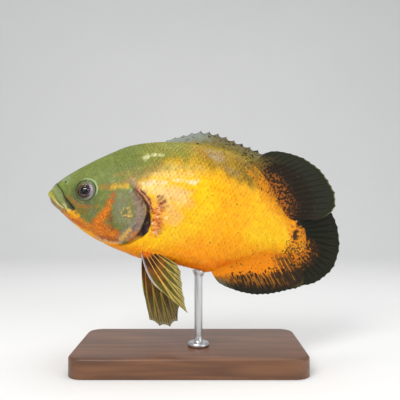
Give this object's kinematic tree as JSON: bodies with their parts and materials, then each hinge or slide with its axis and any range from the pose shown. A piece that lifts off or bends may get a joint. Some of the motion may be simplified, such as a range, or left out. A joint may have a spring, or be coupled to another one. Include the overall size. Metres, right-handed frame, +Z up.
{
  "type": "oscar fish model",
  "caption": "Life-size still model of an adult oscar fish in a turning, slightly nose-up swim, held by one rod above a plain wooden base.",
  "frame": {"origin": "on the floor, under the middle of the whole model's box", "axes": "+X from the snout towards the tail, +Y to the fish's right side, away from the camera, +Z up"},
  "size_m": [0.2332, 0.092, 0.1771],
  "materials": {
    "head": "moist satin, olive green",
    "upper_jaw": "moist satin, pale yellow lip",
    "lower_jaw": "moist satin, grey lilac lip with orange",
    "gill_cover": "moist satin, orange network on olive",
    "eye": "clear gloss over purple brown iris",
    "trunk": "glossy scales, golden orange",
    "tail_stalk": "glossy scales, dark brown with orange spots",
    "dorsal_fin_spiny": "thin grey translucent membrane",
    "dorsal_fin_soft": "black membrane with a pale margin",
    "anal_fin": "orange base, black margin",
    "caudal_fin": "black membrane with a pale margin",
    "pelvic_fin": "cream rays, olive brown membrane",
    "pectoral_fin": "clear amber membrane",
    "stand_base": "satin varnished wood",
    "stand_rod": "brushed steel"
  },
  "bodies": {
    "root": {"head": "head", "upper_jaw": "upper_jaw", "lower_jaw": "lower_jaw", "gill_cover_left": "gill_cover", "gill_cover_right": "gill_cover", "eye_left": "eye", "eye_right": "eye", "trunk": "trunk", "tail_stalk": "tail_stalk", "dorsal_fin_spiny": "dorsal_fin_spiny", "dorsal_fin_soft": "dorsal_fin_soft", "anal_fin": "anal_fin", "caudal_fin": "caudal_fin", "pelvic_fin_left": "pelvic_fin", "pelvic_fin_right": "pelvic_fin", "pectoral_fin_left": "pectoral_fin", "pectoral_fin_right": "pectoral_fin", "stand_base": "stand_base", "stand_rod": "stand_rod"}
  },
  "joints": []
}
